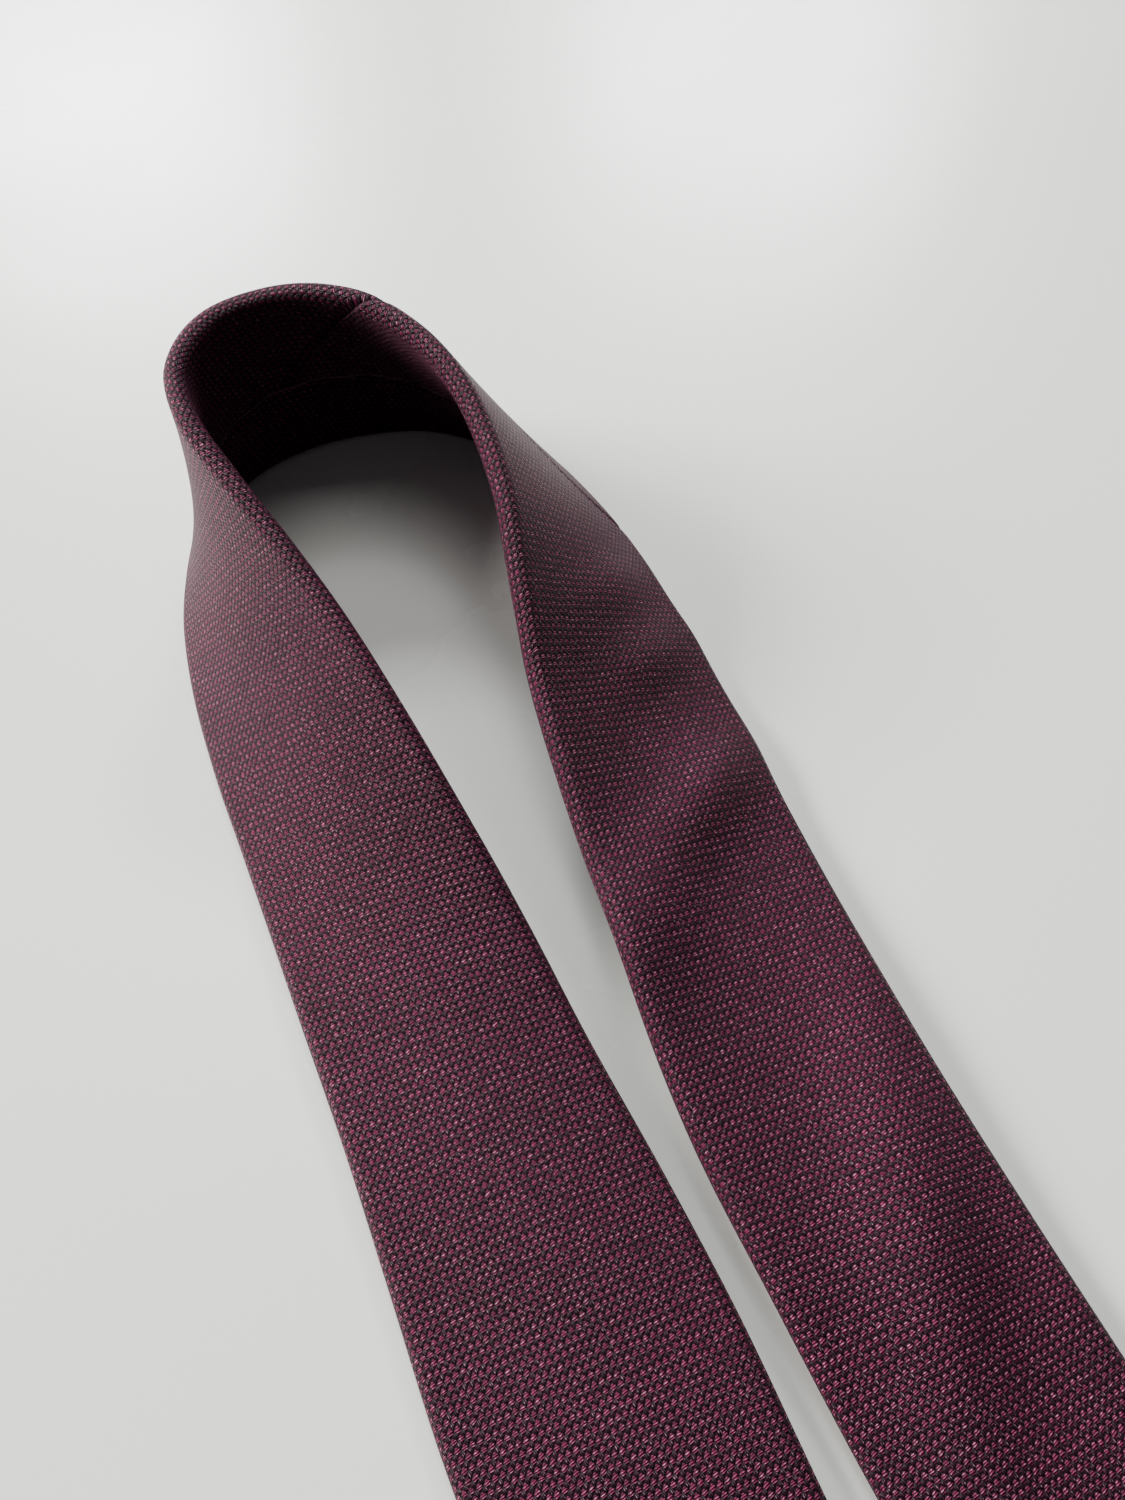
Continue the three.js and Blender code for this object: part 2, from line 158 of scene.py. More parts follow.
LACQUER_COLOURS = (0.65, 0.655, 0.61), (0.68, 0.685, 0.64)
lacquer, tree, shader = new_material("white_lacquer", Specular_IOR_Level=0.5)
where = tree.nodes.new("ShaderNodeTexCoord").outputs["Object"]
cloud = noise(tree, 3.0, 3.0, where)
tree.links.new(mixed(tree, cloud, *LACQUER_COLOURS), shader.inputs["Base Color"])
polish = spread(tree, noise(tree, 30.0, 4.0, where), 0.24, 0.3)
tree.links.new(polish, shader.inputs["Roughness"])
roughened(tree, shader, noise(tree, 900.0, 2.0, where), 0.05, 0.0001)

TABLE_REACH = 3.0
table = bpy.data.meshes.new("table")
corners = [
    (x * TABLE_REACH, y * TABLE_REACH, 0)
    for x, y in ((-1, -1), (1, -1), (1, 1), (-1, 1))
]
table.from_pydata(corners, [], [(0, 1, 2, 3)])
table.materials.append(lacquer)
new_object("table", table)

LIT_PLACE = (35, 130)
DAYLIGHT = (1, 0.99, 0.97)
SKYLIGHT = (0.96, 0.98, 1)


def add_light(name, heading, elevation, distance, width, height, power, colour):
    """A soft light that faces the loop, from a heading clockwise off +Y."""
    data = bpy.data.lights.new(name, "AREA")
    data.shape = "RECTANGLE"
    data.size, data.size_y = width, height
    data.energy = power
    data.color = colour
    light = bpy.data.objects.new(name, data)
    bpy.context.scene.collection.objects.link(light)
    heading, elevation = math.radians(heading), math.radians(elevation)
    out = Vector(
        (
            math.sin(heading) * math.cos(elevation),
            math.cos(heading) * math.cos(elevation),
            math.sin(elevation),
        )
    )
    light.location = place(*LIT_PLACE) + out * distance
    light.rotation_euler = out.to_track_quat("Z", "Y").to_euler()


add_light("left_window", -55, 28, 1.6, 0.8, 0.6, 82, DAYLIGHT)
add_light("high_window", 14, 62, 1.6, 0.9, 0.7, 9, (1, 0.99, 0.98))
add_light("far_window_left", 4, 34, 2.2, 0.5, 0.3, 48, SKYLIGHT)
add_light("far_window_right", 33, 34, 2.2, 0.5, 0.3, 34, SKYLIGHT)
world = bpy.data.worlds.new("room")
world.use_nodes = True
world.node_tree.nodes["Background"].inputs["Color"].default_value = (0.9, 0.93, 1, 1)
world.node_tree.nodes["Background"].inputs["Strength"].default_value = 0.1
bpy.context.scene.world = world

# The folded strip's course.
# The tie is one long strip: front blade, half-turn loop standing on its outer
# edge at the back of the neck, then the tail. Each row gives its two edges.
THICK = 3.8
ROUND = THICK / 2
ROW_STEP = 20
FRONT_TIP_Y, FRONT_FOLD_Y, FRONT_UPPER_Y = -560, -280, -20
FRONT_LAST_ROW_Y = 20
FRONT_WIDTH, FRONT_FOLD_WIDTH, FRONT_UPPER_WIDTH = 76, 58, 41
FRONT_SHOULDER = FRONT_WIDTH / 2
TAIL_X, TAIL_Y, TAIL_TURN = 58.2, -20, math.radians(3.3)
TAIL_LENGTH, TAIL_FOLD = 490, 235
TAIL_WIDTH, TAIL_FOLD_WIDTH, TAIL_UPPER_WIDTH = 44, 38, 36.5
TAIL_SHOULDER = TAIL_WIDTH / 2
LOOP_ROWS = [
    [-6.5, 40, 1.9, 32.5, 40, 2.1],
    [-5.5, 60, 2, 30.9, 59.8, 3.2],
    [-5, 80, 1.9, 29.8, 76, 6.4],
    [-4.5, 94, 1.5, 28.5, 88.6, 10.4],
    [-4, 108, 1.2, 26.6, 101.6, 15.4],
    [-3.5, 122, 1, 24.5, 114, 20],
    [-2, 138, 0.9, 22, 127, 24],
    [1, 152, 0.7, 18.5, 140, 28],
    [6, 164, 0.4, 14.5, 152, 32],
    [12, 173, 0.2, 11.5, 163, 35],
    [21, 178.5, 0.1, 12.5, 173, 36],
    [32, 180.5, 0.1, 20, 181, 36],
    [43, 179.5, 0.1, 31, 182.5, 35.5],
    [53, 176, 0.1, 41.5, 177.5, 35],
    [61, 169, 0.2, 47.5, 168.5, 34.5],
    [67, 160, 0.4, 50.5, 158.5, 32.5],
    [70.5, 149, 0.6, 51, 148, 30],
    [72.8, 137, 0.8, 49.5, 136, 27],
    [74, 124, 0.9, 46, 123, 22],
    [74.4, 110, 1.1, 43, 110, 16],
    [74.2, 96, 1.3, 41, 96, 12],
    [73.7, 80, 1.6, 39.5, 80, 8],
    [73.2, 60, 1.8, 37.8, 60, 6],
    [73.3, 40, 1.9, 37, 40, 4.5],
    [74.3, 18, 2, 37.8, 20, 3.5],
]
# The front blade lies a little higher where the keeper loop and labels are under it.
RIDE_Y = (-426, -401, -335, -310)
RIDE_UP = 1.1


def front_row(y):
    width = np.interp(
        y,
        (FRONT_TIP_Y + FRONT_SHOULDER, FRONT_FOLD_Y, FRONT_UPPER_Y),
        (FRONT_WIDTH, FRONT_FOLD_WIDTH, FRONT_UPPER_WIDTH),
    )
    z = ROUND + np.interp(y, RIDE_Y, (0, RIDE_UP, RIDE_UP, 0))
    return [KEEPER_X - width / 2, y, z, KEEPER_X + width / 2, y, z]


def tail_row(along):
    width = np.interp(
        along,
        (0, TAIL_FOLD, TAIL_LENGTH - TAIL_SHOULDER),
        (TAIL_UPPER_WIDTH, TAIL_FOLD_WIDTH, TAIL_WIDTH),
    )
    out = np.array([math.cos(TAIL_TURN), math.sin(TAIL_TURN)]) * width / 2
    x = TAIL_X + along * math.sin(TAIL_TURN)
    y = TAIL_Y - along * math.cos(TAIL_TURN)
    return [x + out[0], y + out[1], ROUND, x - out[0], y - out[1], ROUND]


front_rows = [front_row(y) for y in range(FRONT_TIP_Y, FRONT_LAST_ROW_Y + 1, ROW_STEP)]
tail_rows = [tail_row(a) for a in range(-ROW_STEP, TAIL_LENGTH + ROW_STEP, ROW_STEP)]
rows = np.array(front_rows + LOOP_ROWS + tail_rows, float)
LOOP_FIRST = len(front_rows)


def smooth_course(rows, steps):
    """Points on a smooth curve through the rows, with that many steps from row to row."""
    padded = np.vstack([2 * rows[0] - rows[1], rows, 2 * rows[-1] - rows[-2]])
    t = (np.arange(steps) / steps)[:, None]
    made = []
    for a, b, c, d in zip(padded, padded[1:], padded[2:], padded[3:]):
        made.append(
            b
            + (c - a) * t / 2
            + (2 * a - 5 * b + 4 * c - d) * t**2 / 2
            + (3 * b - a - 3 * c + d) * t**3 / 2
        )
    return np.vstack([*made, rows[-1:]])


COURSE_STEPS = 12
course = smooth_course(rows, COURSE_STEPS)
outer_edge, inner_edge = course[:, :3], course[:, 3:]
centre = (outer_edge + inner_edge) / 2
width_along = np.linalg.norm(inner_edge - outer_edge, axis=1)
across = (inner_edge - outer_edge) / width_along[:, None]
heading = np.gradient(centre, axis=0)
face = np.cross(across, heading)
face /= np.linalg.norm(face, axis=1)[:, None]
steps = np.linalg.norm(np.diff(centre, axis=0), axis=1)
run = np.concatenate([[0], np.cumsum(steps)])


def run_at_row(row):
    """Distance from the front tip to a row of the loop."""
    return float(np.interp((LOOP_FIRST + row) * COURSE_STEPS, np.arange(len(run)), run))


def run_at_tail(along):
    return float(run_at_row(len(LOOP_ROWS)) + ROW_STEP + along)


def run_at_front(y):
    return y - FRONT_TIP_Y


def width_at(s):
    return np.interp(s, run, width_along)


# Soft folds pressed into the strip: short ripples, a raised inner edge and one long
# ridge on the tail, and a low crown on the front blade. Each is its place along and
# across, its lean off the length in degrees, then its half length, half width and height.
def tail_fold_at(along, *shape):
    return (run_at_tail(along), *shape)


FOLDS = [
    tail_fold_at(-146, -4, 60, 9, 4.2, 1.1),
    tail_fold_at(-132, -5, 62, 10, 4.5, 1.5),
    tail_fold_at(-108, -5, 56, 12, 6.5, 2.4),
    tail_fold_at(-96, 19, 0, 42, 11, 2.2),
    tail_fold_at(-93, 11, 40, 15, 8, 1.7),
    tail_fold_at(-38, -3, 18, 32, 7.5, 3.3),
    (run_at_row(1.5), 4, 0, 70, 15, 2.0),
]


UNEVEN, FINE_UNEVEN = 0.12, 0.05


def lift_at(s, x):
    """How far the folds and a faint unevenness raise the strip."""
    lift = UNEVEN * (np.sin(s / 31) * np.cos(x / 11 + s / 47) + 1.4)
    lift = lift + FINE_UNEVEN * np.sin(s / 13 + x / 9)
    for place_s, place_x, lean, half_long, half_wide, high in FOLDS:
        lean = math.radians(lean)
        ds, dx = s - place_s, x - place_x
        length = ds * math.cos(lean) + dx * math.sin(lean)
        width = dx * math.cos(lean) - ds * math.sin(lean)
        lift = lift + high * np.exp(
            -((length / half_long) ** 2) - (width / half_wide) ** 2
        )
    return lift


def on_strip(s, x, h):
    """Places on the strip, in metres: s along it, x from its middle, h above it."""
    h = h + lift_at(s, x)
    point = np.stack([np.interp(s, run, centre[:, i]) for i in range(3)], -1)
    for value, axis in ((x, across), (h, face)):
        aim = np.stack([np.interp(s, run, axis[:, i]) for i in range(3)], -1)
        aim /= np.linalg.norm(aim, axis=-1, keepdims=True)
        point = point + np.asarray(value)[..., None] * aim
    return point * MM + np.array(PLAN)


RUN_STEP = 0.5
TINY = 1e-15


def ribbon(name, material, s, outside, inside, u):
    """A closed thin sheet. Its outside and inside are [x, h] over stations and points,
    s is the run of each, and u is the place across the cloth before it was folded."""
    count = outside.shape[1]
    ring = np.concatenate([outside, inside[:, ::-1]], axis=1)
    s_ring = np.concatenate([s, s[:, ::-1]], axis=1)
    u_ring = np.concatenate([u, u[:, ::-1]], axis=1)
    points = on_strip(s_ring, ring[..., 0], ring[..., 1])
    before = on_strip(s_ring[:1] - RUN_STEP, ring[:1, :, 0], ring[:1, :, 1])
    beyond = on_strip(s_ring[-1:] + RUN_STEP, ring[-1:, :, 0], ring[-1:, :, 1])
    longer = np.concatenate([before, points, beyond])
    lengthwise = longer[2:] - longer[:-2]
    crosswise = np.roll(points, -1, axis=1) - np.roll(points, 1, axis=1)
    normals = np.cross(crosswise, lengthwise)
    size = np.linalg.norm(normals, axis=-1, keepdims=True)
    normals = np.where(size > TINY, normals / np.maximum(size, TINY), (0, 0, 1))
    stations, around = points.shape[:2]
    index = np.arange(stations * around).reshape(stations, around)
    after = np.roll(index, -1, axis=1)
    sides = np.stack([index[:-1], after[:-1], after[1:], index[1:]], -1)
    faces = sides.reshape(-1, 4).tolist()
    for k in range(count - 1):
        near, far = around - 1 - k, around - 2 - k
        first, last = index[0], index[-1]
        faces.append([first[k], first[near], first[far], first[k + 1]])
        faces.append([last[k + 1], last[far], last[near], last[k]])
    mesh = bpy.data.meshes.new(name)
    mesh.from_pydata(points.reshape(-1, 3).tolist(), [], faces)
    mesh.materials.append(material)
    cloth = np.stack([u_ring, s_ring], -1).reshape(-1, 2)
    corner = np.zeros(len(mesh.loops), int)
    mesh.loops.foreach_get("vertex_index", corner)
    mesh.uv_layers.new(name="cloth").data.foreach_set("uv", cloth[corner].ravel())
    mesh.polygons.foreach_set("use_smooth", [True] * len(mesh.polygons))
    mesh.normals_split_custom_set_from_vertices(normals.reshape(-1, 3).tolist())
    made = new_object(name, mesh)
    width = np.ptp(u, axis=1)
    area = float(np.sum((width[1:] + width[:-1]) / 2 * np.diff(s.mean(axis=1))))
    length = float(np.ptp(s.mean(axis=1)))
    flat = (float(width.max()) * MM, length * MM)
    return made, flat, min(area * MM * MM, flat[0] * flat[1])


# Silk of the shell: a plain weave of burgundy and charcoal yarns, which runs
# slantwise because a tie is cut on the bias. The yarns are twisted, so two or three
# slanting filaments show in each float. The colour holds painted light: sheen on the
# crests, shade between filaments and in the weave's low gaps, and a few glints.
def calc(tree, operation, first, second=0.0, third=0.0):
    made = tree.nodes.new("ShaderNodeMath")
    made.operation = operation
    for socket, value in zip(made.inputs, (first, second, third)):
        if isinstance(value, bpy.types.NodeSocket):
            tree.links.new(value, socket)
        else:
            socket.default_value = value
    return made.outputs[0]


YARN_CROWN, WEFT_DROP, FILAMENT_RISE = 0.45, 0.2, 0.3
weave = bpy.data.node_groups.new("bias_weave", "ShaderNodeTree")
for socket, kind, default in (
    ("Cloth", "NodeSocketVector", None),
    ("Pitch Across", "NodeSocketFloat", 1.02),
    ("Pitch Along", "NodeSocketFloat", 1.16),
    ("Crimp", "NodeSocketFloat", 0.55),
    ("Filaments", "NodeSocketFloat", 1.44),
    ("Twist", "NodeSocketFloat", 2.08),
):
    made = weave.interface.new_socket(socket, in_out="INPUT", socket_type=kind)
    if default is not None:
        made.default_value = default
for socket in ("Warp", "Height", "Filament", "Float Shade", "Glint"):
    weave.interface.new_socket(socket, in_out="OUTPUT", socket_type="NodeSocketFloat")
given = weave.nodes.new("NodeGroupInput").outputs
result = weave.nodes.new("NodeGroupOutput").inputs
split = weave.nodes.new("ShaderNodeSeparateXYZ")
weave.links.new(given["Cloth"], split.inputs[0])
# Each yarn wanders a little from its straight line.
wander = noise(weave, 0.35, 1.0, given["Cloth"])
stray = calc(weave, "MULTIPLY_ADD", wander, 0.5, -0.25)
cells_across = calc(weave, "DIVIDE", split.outputs[0], given["Pitch Across"])
cells_along = calc(weave, "DIVIDE", split.outputs[1], given["Pitch Along"])
cells_across = calc(weave, "ADD", cells_across, stray)
cells_along = calc(weave, "ADD", cells_along, stray)
warp_way = calc(weave, "SUBTRACT", cells_along, cells_across)
weft_way = calc(weave, "ADD", cells_along, cells_across)
cell_warp = calc(weave, "FLOOR", warp_way)
cell_weft = calc(weave, "FLOOR", weft_way)
in_warp = calc(weave, "SUBTRACT", warp_way, cell_warp)
in_weft = calc(weave, "SUBTRACT", weft_way, cell_weft)


def yarn_height(way, other_cell, across_yarn, sign):
    """Height of one yarn: it rises and dips as it crosses the others, and is round."""
    phase = calc(weave, "MULTIPLY", calc(weave, "ADD", way, other_cell), math.pi)
    swing = calc(weave, "MULTIPLY", calc(weave, "SINE", phase), given["Crimp"])
    side = calc(weave, "MULTIPLY_ADD", across_yarn, 2.0, -1.0)
    crown = calc(weave, "SUBTRACT", 1.0, calc(weave, "MULTIPLY", side, side))
    crown = calc(weave, "MULTIPLY", crown, YARN_CROWN)
    return calc(weave, "MULTIPLY_ADD", swing, sign, crown)


def filament(across_yarn, along_yarn, hand):
    """The twisted filaments of a yarn, from 0 between them to 1 on top of one."""
    across = calc(weave, "MULTIPLY", across_yarn, given["Filaments"])
    along = calc(weave, "MULTIPLY", along_yarn, given["Twist"])
    turns = calc(weave, "MULTIPLY_ADD", along, hand, across)
    turns = calc(weave, "ADD", turns, stray)
    wave = calc(weave, "COSINE", calc(weave, "MULTIPLY", turns, 2 * math.pi))
    return calc(weave, "MULTIPLY_ADD", wave, 0.5, 0.5)


warp_height = yarn_height(warp_way, cell_weft, in_weft, 1.0)
weft_height = yarn_height(weft_way, cell_warp, in_warp, -1.0)
lead = calc(weave, "SUBTRACT", warp_height, weft_height)
warp_shows = spread(weave, lead, 0.0, 1.0, -0.12, 0.12)
fibre = weave.nodes.new("ShaderNodeMix")
weave.links.new(warp_shows, fibre.inputs[0])
weave.links.new(filament(in_warp, in_weft, -1.0), fibre.inputs[2])
weave.links.new(filament(in_weft, in_warp, 1.0), fibre.inputs[3])
fibre = fibre.outputs[0]
sunk_weft = calc(weave, "SUBTRACT", weft_height, WEFT_DROP)
top = calc(weave, "MAXIMUM", warp_height, sunk_weft)
height = calc(weave, "MULTIPLY_ADD", fibre, FILAMENT_RISE, top)
cell = weave.nodes.new("ShaderNodeCombineXYZ")
weave.links.new(cell_warp, cell.inputs[0])
weave.links.new(cell_weft, cell.inputs[1])
chance = weave.nodes.new("ShaderNodeTexWhiteNoise")
chance.noise_dimensions = "2D"
weave.links.new(cell.outputs[0], chance.inputs["Vector"])
# Each filament has its own brightness, with painted sheen on its crest; the brightest few get
# a painted glint.
speckle = noise(weave, 2.2, 1.0, given["Cloth"])
filament_sheen = spread(weave, fibre, 0.0, 1.0, 0.35, 0.95)
filament_sheen = calc(weave, "MULTIPLY", filament_sheen, spread(weave, speckle, 0.25, 1.0, 0.3, 0.62))
glint = calc(weave, "MULTIPLY", filament_sheen, spread(weave, speckle, 0.0, 1.0, 0.52, 0.7))
glint = calc(weave, "MULTIPLY", glint, spread(weave, top, 0.0, 1.0, 0.45, 0.85))
for socket, value in (
    ("Warp", warp_shows),
    ("Height", height),
    ("Filament", filament_sheen),
    ("Float Shade", chance.outputs["Value"]),
    ("Glint", glint),
):
    weave.links.new(value, result[socket])


def woven(tree, **settings):
    """Lays the weave on the cloth before it was folded; gives that place and the weave."""
    cloth = tree.nodes.new("ShaderNodeUVMap")
    cloth.uv_map = "cloth"
    yarns = tree.nodes.new("ShaderNodeGroup")
    yarns.node_tree = weave
    tree.links.new(cloth.outputs["UV"], yarns.inputs["Cloth"])
    for socket, value in settings.items():
        yarns.inputs[socket.replace("_", " ")].default_value = value
    return cloth.outputs["UV"], yarns.outputs


WARP_SHADED_AND_LIT = (0.034, 0.0025, 0.012), (0.145, 0.014, 0.052)
WEFT_SHADED_AND_LIT = (0.009, 0.002, 0.006), (0.024, 0.008, 0.015)
GLINT_COLOUR, GLINT_SHARE = (0.50, 0.28, 0.35), 0.6
WEAVE_DEPTH = 0.0003

silk, tree, shader = new_material(
    "burgundy_silk",
    Specular_IOR_Level=0.1,
    Sheen_Weight=0.03,
    Sheen_Roughness=0.4,
    Sheen_Tint=(0.9, 0.6, 0.75, 1),
)
cloth, yarns = woven(tree)
# Painted sheen and shade: each yarn colour goes from shaded between its filaments to lit on
# their crests.
warp = mixed(tree, yarns["Filament"], *WARP_SHADED_AND_LIT)
weft = mixed(tree, yarns["Filament"], *WEFT_SHADED_AND_LIT)
colour = mixed(tree, yarns["Warp"], weft, warp)
# Painted shade and light: the colour darkens to near black in the weave's low gaps and
# lightens on its high floats; then tone varies at random over the cloth and from float to
# float.
painted_shade_and_tone = spread(tree, yarns["Height"], 0.12, 1.35, 0.25, 1.1)
worn = spread(tree, noise(tree, 0.06, 3.0, cloth), 0.86, 1.14, 0.3, 0.7)
uneven = spread(tree, yarns["Float Shade"], 0.8, 1.2)
painted_shade_and_tone = calc(tree, "MULTIPLY", painted_shade_and_tone, calc(tree, "MULTIPLY", worn, uneven))
colour = mixed(tree, 1.0, colour, painted_shade_and_tone, "MULTIPLY")
# Painted highlight: pink-white glints on the brightest filaments are mixed into the base
# colour.
glint = calc(tree, "MULTIPLY", yarns["Glint"], GLINT_SHARE)
colour = mixed(tree, glint, colour, GLINT_COLOUR)
tree.links.new(colour, shader.inputs["Base Color"])
gloss = spread(tree, yarns["Height"], 0.6, 0.38, 0.2, 1.1)
tree.links.new(gloss, shader.inputs["Roughness"])
roughened(tree, shader, yarns["Height"], 0.8, WEAVE_DEPTH)

# Front blade, one piece of silk folded round the interlining. Its flaps overlap and
# are slip-stitched up the back, open in a V below the bar tack, and end in a hemmed point.
SILK = 0.7
HEM = 6
OVERLAP = (3.0, -1.5)
UNDER_DROP = 0.75
RISE_START, RISE_LENGTH = -5, 3.2
THINNEST = 0.02
FACE_POINTS, EDGE_POINTS, FLAP_POINTS = 25, 9, 12


def shell_section(half, radius, flap_left, flap_right, tuck, inset):
    """One section of the shell at some depth inside it, as [x, h], over all stations."""
    reach = half - radius
    outer_radius = np.maximum(radius - inset, THINNEST)
    turned = np.linspace(0, 1, EDGE_POINTS)
    share = np.linspace(0, 1, FLAP_POINTS)[:, None]
    left_x = flap_left + (-reach - flap_left) * share
    rise = np.clip((left_x - RISE_START) / RISE_LENGTH, 0, 1)
    left_h = -outer_radius + UNDER_DROP * tuck * rise**2 * (3 - 2 * rise)
    left_angle = -math.pi / 2 - math.pi * turned[:, None]
    right_angle = math.pi / 2 - math.pi * turned[:, None]
    face_x = np.linspace(-1, 1, FACE_POINTS)[:, None] * reach
    right_x = reach + (flap_right - reach) * share
    x = [
        left_x,
        (-reach + outer_radius * np.cos(left_angle))[1:],
        face_x[1:],
        (reach + outer_radius * np.cos(right_angle))[1:],
        right_x[1:],
    ]
    h = [
        left_h,
        (outer_radius * np.sin(left_angle))[1:],
        (face_x * 0 + outer_radius)[1:],
        (outer_radius * np.sin(right_angle))[1:],
        (right_x * 0 - outer_radius)[1:],
    ]
    return np.stack([np.vstack(x).T, np.vstack(h).T], -1)


ROUNDEST = 0.95
SEAM_STEPS = (-1.8, -1.3, -0.9, -0.6, -0.3, 0.3, 0.6, 0.9, 1.3, 1.8)
SEAM_DIP, SEAM_DIP_INSIDE = 0.45, 0.2
SEAM_GROOVE = 0.75
SLANT_REACH = 90


def shell(name, s, flaps=None, seam_start=0.0, seam_end=0.0, seams=()):
    """Part of the folded silk between two runs. flaps(s) gives where its back flaps end;
    a seam slants the first or last edge by that much for each millimetre across."""
    near_seams = [seam + step for seam in seams for step in SEAM_STEPS]
    inner = [place_s for place_s in near_seams if s[0] < place_s < s[-1]]
    s = np.unique(np.concatenate([s, inner]))
    half = width_at(s) / 2
    tuck = np.ones(len(s))
    left, right_flap = np.full(len(s), OVERLAP[0]), np.full(len(s), OVERLAP[1])
    if flaps is not None:
        half, left, right_flap, tuck = flaps(s, half)
    radius = np.minimum(ROUND, half * ROUNDEST)
    dip = np.zeros(len(s))
    for seam in seams:
        dip += SEAM_DIP * np.exp(-(((s - seam) / SEAM_GROOVE) ** 2))
    outside = shell_section(half, radius, left, right_flap, tuck, dip)
    depth = SILK + dip * SEAM_DIP_INSIDE
    inside = shell_section(half, radius, left, right_flap, tuck, depth)
    step = np.linalg.norm(np.diff(outside, axis=1), axis=2)
    u = np.concatenate([np.zeros((len(s), 1)), np.cumsum(step, axis=1)], axis=1)
    face_middle = FLAP_POINTS + EDGE_POINTS - 2 + FACE_POINTS // 2
    u -= u[:, face_middle : face_middle + 1]
    reach = min(SLANT_REACH, s[-1] - s[0])
    slant = seam_start * np.clip(1 - (s - s[0]) / reach, 0, 1)
    slant += seam_end * np.clip(1 - (s[-1] - s) / reach, 0, 1)
    along = s[:, None] + slant[:, None] * u
    return ribbon(name, silk, along, outside, inside, u)


FINE, COARSE, SHORTEST = 1.2, 2.0, 0.6


def stations_between(start, end, fine_places=(), reach=14):
    """Stations along the strip, closer together round the places that bend."""
    made, s = [start], start
    while s < end - COARSE:
        near = any(abs(s - bend) < reach for bend in fine_places)
        s += FINE if near else COARSE
        made.append(s)
    if end - made[-1] < SHORTEST:
        made.pop()
    return np.array([*made, end])


NARROWEST_FLAP, WIDEST_SHARE = 0.25, 0.9
OPEN_V_EDGE = 0.4
CLOSING_LENGTH = 6


def point_flaps(shoulder, open_length, from_point):
    """Flap ends of a blade's lower part, with from_point(s) the distance to its point."""

    def flaps(s, half):
        d = from_point(s)
        full = half
        half = np.minimum(half, d)
        tack = shoulder + open_length
        hem_end = np.maximum(half - HEM * math.sqrt(2), NARROWEST_FLAP)
        v_end = np.interp(d, (shoulder, tack), (1.0, 0.0)) * (full - HEM) + OPEN_V_EDGE
        free = np.where(d < shoulder, hem_end, np.maximum(v_end, NARROWEST_FLAP))
        free = np.minimum(free, half * WIDEST_SHARE)
        closed = np.clip((d - tack) / CLOSING_LENGTH, 0, 1)
        left = -free + (OVERLAP[0] + free) * closed
        right_end = free + (OVERLAP[1] - free) * closed
        return half, left, right_end, closed

    return flaps


def lay_shell(name, s, nodes, **form):
    """Lays one length of the shell on the table, in place of the plan's nodes."""
    piece, flat, area = shell(name, s, **form)
    if nodes:
        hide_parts(*nodes)
    return piece


def blend_front_fold(piece):
    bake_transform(piece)


FRONT_OPEN = 62
TIP_PLACES = np.array([0.5, 1.0, 1.6, 2.4, 3.3, 4.4, 5.6, 7.0, 8.4])
TIP_END = 9.8
CUT_FRONT = run_at_front(-110)
front_fold = run_at_front(FRONT_FOLD_Y)
front_flaps = point_flaps(FRONT_SHOULDER, FRONT_OPEN, lambda s: s)
bends = (front_fold, FRONT_SHOULDER)
s = np.concatenate([TIP_PLACES, stations_between(TIP_END, CUT_FRONT, bends)])
nodes = ["front_shell_tip", "front_shell_leg"]
piece = lay_shell("front_blade_silk", s, nodes, flaps=front_flaps)
blend_front_fold(piece)

# The rest of the front panel, from the middle of the blade to the seam at the back
# of the neck. It turns up on to its edge as it leaves the table.
LIFT_Y, LIFT_REACH = 60, 5
SEAM_REACH, BEND_REACH = 40, 60
NECK_SEAM_SLANT = -1.1
cut_loop_front = run_at_row(8)
neck_seam = run_at_row(15.2)
cut_loop_neck = run_at_row(20.5)
tail_bend = run_at_row(22)
tail_seam = run_at_tail(100)


def blend_front_lift(piece):
    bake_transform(piece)


def blend_neck(piece):
    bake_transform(piece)


def blend_tail_lift(piece):
    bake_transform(piece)


def blend_tail_fold(piece):
    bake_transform(piece)


s = stations_between(CUT_FRONT, cut_loop_front, (run_at_front(LIFT_Y),))
piece = lay_shell("front_neck_silk", s, ["front_shell_loop"])
blend_front_lift(piece)
s = stations_between(cut_loop_front, neck_seam, (neck_seam,), SEAM_REACH)
seams = (neck_seam,)
piece = lay_shell("front_seam_silk", s, [], seam_end=NECK_SEAM_SLANT, seams=seams)
blend_neck(piece)

# Neck panel: a plain band sewn to the front panel and to the tail panel on slanting
# seams, which are pressed open and show as fine grooves.
TAIL_SEAM_SLANT = 0.9
s = stations_between(neck_seam, cut_loop_neck, (neck_seam,), SEAM_REACH)
piece = lay_shell("neck_seam_silk", s, [], seam_start=NECK_SEAM_SLANT, seams=seams)
blend_neck(piece)
s = stations_between(cut_loop_neck, tail_seam, (tail_bend,), BEND_REACH)
nodes, seams = ["neck_shell_loop", "neck_shell_leg"], (tail_seam,)
piece = lay_shell("neck_band_silk", s, nodes, seam_end=TAIL_SEAM_SLANT, seams=seams)
blend_tail_lift(piece)

# Tail, the narrow blade, made as the front blade is.
TAIL_OPEN = 34
tail_tip = run_at_tail(TAIL_LENGTH)
tail_flaps = point_flaps(TAIL_SHOULDER, TAIL_OPEN, lambda s: tail_tip - s)
bends = (run_at_tail(TAIL_FOLD), tail_tip - TAIL_SHOULDER)
s = stations_between(tail_seam, tail_tip - TIP_END, bends)
s = np.concatenate([s, tail_tip - TIP_PLACES[::-1]])
piece = lay_shell(
    "tail_silk",
    s,
    ["tail_shell_leg", "tail_shell_tip"],
    flaps=tail_flaps,
    seam_start=TAIL_SEAM_SLANT,
    seams=seams,
)
blend_tail_fold(piece)

